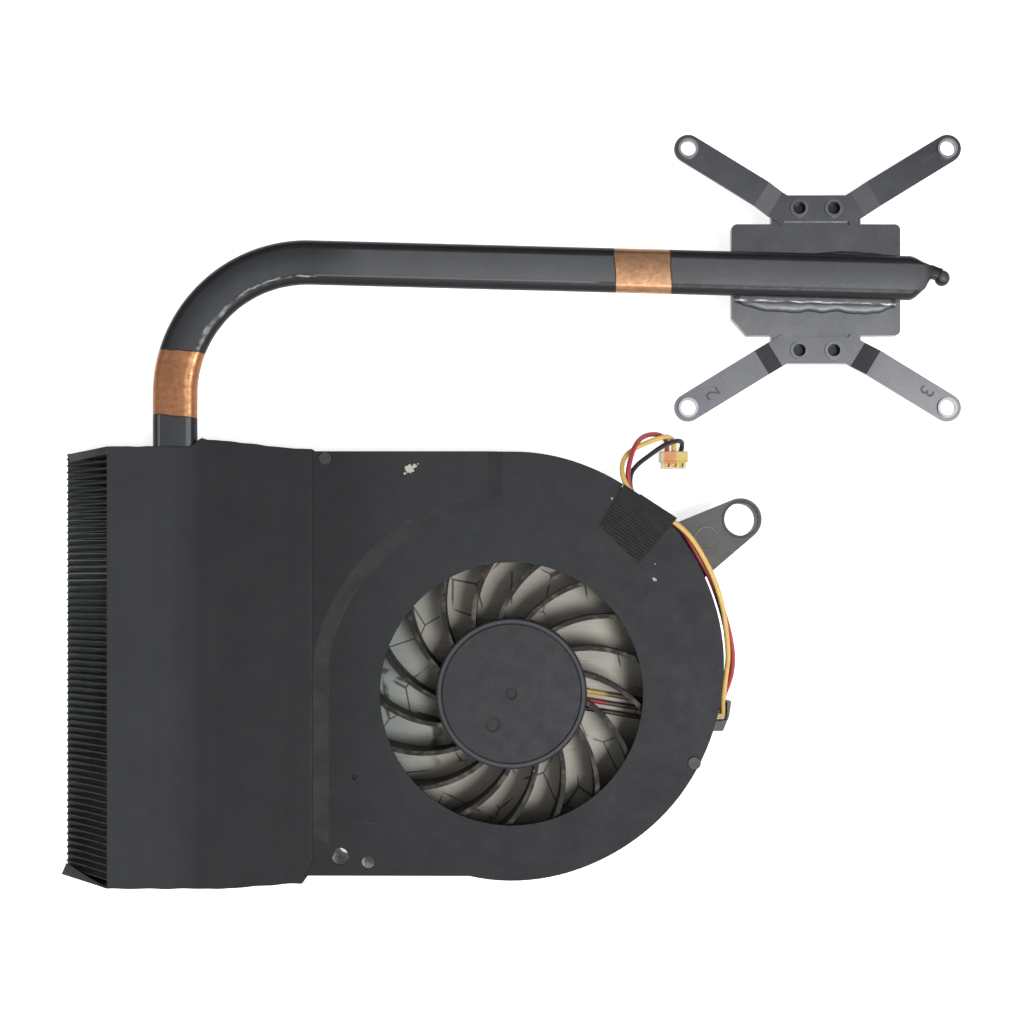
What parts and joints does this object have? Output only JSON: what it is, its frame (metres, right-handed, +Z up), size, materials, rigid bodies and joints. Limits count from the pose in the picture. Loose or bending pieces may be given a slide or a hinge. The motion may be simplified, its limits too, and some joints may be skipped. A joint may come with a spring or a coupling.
{
  "type": "laptop cooling fan and heatsink",
  "caption": "Flat blower fan with a fin stack at its outlet and a bent flattened heat pipe that runs to a processor plate with spring mounting arms.",
  "frame": {"origin": "on the fan's spin axis, at the underside of the fan's floor", "axes": "+X from the fins towards the processor plate's side, +Y from the fan towards the heat pipe's run, +Z up out of the fan's intake"},
  "size_m": [0.1604, 0.1324, 0.0127],
  "materials": {
    "pipe_paint": "satin black paint, with two bare copper bands",
    "fin_metal": "thin sheet, darkened",
    "wrap_film": "matte film",
    "cover_paint": "matte paint",
    "frame_plastic": "moulded, slightly rough",
    "floor_metal": "bare sheet",
    "impeller_plastic": "moulded, dusty",
    "yoke_steel": "drawn cup",
    "magnet_ferrite": "pressed",
    "shaft_steel": "ground",
    "bearing_bronze": "sintered",
    "tube_brass": "turned",
    "pad_plastic": "plain",
    "core_steel": "laminated",
    "coil_copper": "enamelled wire",
    "board_green": "solder mask",
    "chip_black": "moulded",
    "lead_colours": "wire insulation",
    "wire_yellow_skin": "wire insulation",
    "wire_red_skin": "wire insulation",
    "wire_black_skin": "wire insulation",
    "plug_plastic": "moulded",
    "terminal_brass": "stamped",
    "tape_cloth": "ribbed cloth",
    "plate_paint": "satin paint",
    "bracket_steel": "satin dark finish, bare at the holes",
    "rivet_steel": "rolled",
    "solder_tin": "lumpy, bright"
  },
  "bodies": {
    "base": {"heat_pipe": "pipe_paint", "fin_stack": "fin_metal", "duct_wrap": "wrap_film", "fan_cover": "cover_paint", "fan_frame": "frame_plastic", "fan_floor": "floor_metal", "sleeve_bearing": "bearing_bronze", "bearing_tube": "tube_brass", "thrust_pad": "pad_plastic", "stator_core": "core_steel", "stator_coils": "coil_copper", "motor_board": "board_green", "driver_chip": "chip_black", "motor_leads": "lead_colours", "wire_yellow": "wire_yellow_skin", "wire_red": "wire_red_skin", "wire_black": "wire_black_skin", "connector_housing": "plug_plastic", "connector_terminals": "terminal_brass", "wire_tape": "tape_cloth", "cpu_plate": "plate_paint", "upper_bracket": "bracket_steel", "lower_bracket": "bracket_steel", "bracket_rivets": "rivet_steel", "solder_beads": "solder_tin"},
    "rotor": {"impeller": "impeller_plastic", "rotor_yoke": "yoke_steel", "magnet_ring": "magnet_ferrite", "rotor_shaft": "shaft_steel"}
  },
  "joints": [
    {"name": "fan_spin", "type": "hinge", "parent": "base", "child": "rotor", "pos_m": [0, 0, 0], "axis": [0, 0, 1], "continuous": true}
  ]
}
